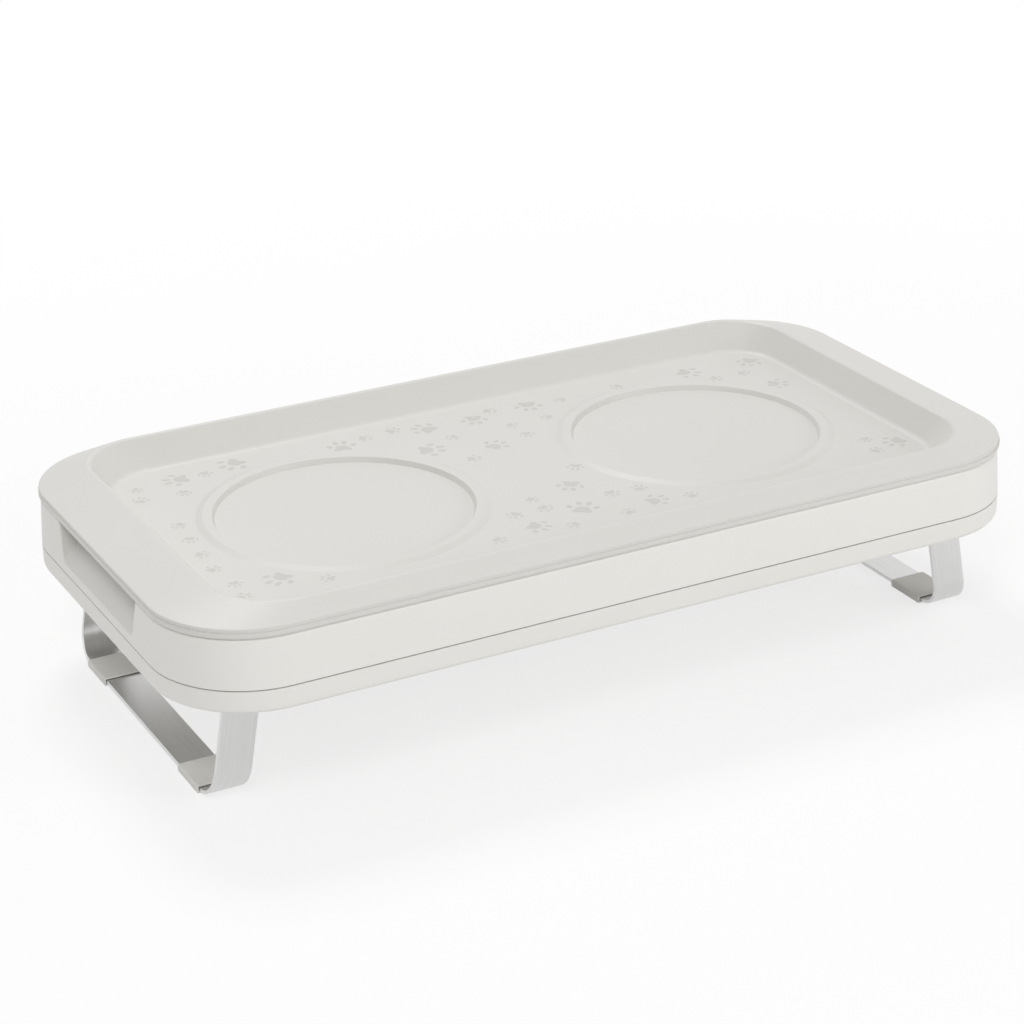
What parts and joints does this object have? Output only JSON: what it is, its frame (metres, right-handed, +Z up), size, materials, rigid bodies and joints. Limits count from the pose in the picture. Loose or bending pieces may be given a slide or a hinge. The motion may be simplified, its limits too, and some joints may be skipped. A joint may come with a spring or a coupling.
{
  "type": "elevated pet feeder",
  "caption": "Low raised feeder stand for pet bowls: a lift-off tray with round bowl seats on a moulded casing with finger notches and folding steel strap legs.",
  "frame": {"origin": "centre of the footprint, on the floor under the foot sleeves", "axes": "+X along the feeder to its right end, +Y across it to the far long side, +Z up"},
  "size_m": [0.5, 0.262, 0.1141],
  "materials": {
    "tray_plastic": "fine matte moulded",
    "casing_plastic": "fine matte moulded",
    "shell_plastic": "fine matte moulded",
    "leg_steel": "satin brushed along the strap",
    "sleeve_rubber": "matte off-white",
    "pin_steel": "turned",
    "washer_plastic": "natural nylon",
    "bracket_plastic": "moulded",
    "screw_steel": "zinc plated"
  },
  "bodies": {
    "base": {"upper_casing": "casing_plastic", "lower_shell": "shell_plastic", "left_near_hinge_pin": "pin_steel", "left_far_hinge_pin": "pin_steel", "right_near_hinge_pin": "pin_steel", "right_far_hinge_pin": "pin_steel", "left_near_hinge_washer": "washer_plastic", "left_far_hinge_washer": "washer_plastic", "right_near_hinge_washer": "washer_plastic", "right_far_hinge_washer": "washer_plastic", "left_near_hinge_bracket": "bracket_plastic", "left_far_hinge_bracket": "bracket_plastic", "right_near_hinge_bracket": "bracket_plastic", "right_far_hinge_bracket": "bracket_plastic", "casing_screws": "screw_steel", "bracket_screws": "screw_steel"},
    "tray": {"tray": "tray_plastic"},
    "left_leg": {"left_leg_strap": "leg_steel", "left_near_foot_sleeve": "sleeve_rubber", "left_far_foot_sleeve": "sleeve_rubber"},
    "right_leg": {"right_leg_strap": "leg_steel", "right_near_foot_sleeve": "sleeve_rubber", "right_far_foot_sleeve": "sleeve_rubber"}
  },
  "joints": [
    {"name": "tray_lift", "type": "slide", "parent": "base", "child": "tray", "axis": [0, 0, 1], "range_m": [0, 0.062]},
    {"name": "left_leg_fold", "type": "hinge", "parent": "base", "child": "left_leg", "pos_m": [-0.2079, 0, 0.076], "axis": [0, -1, 0], "range_deg": [0, 100]},
    {"name": "right_leg_fold", "type": "hinge", "parent": "base", "child": "right_leg", "pos_m": [0.2079, 0, 0.076], "axis": [0, 1, 0], "range_deg": [0, 100]}
  ]
}
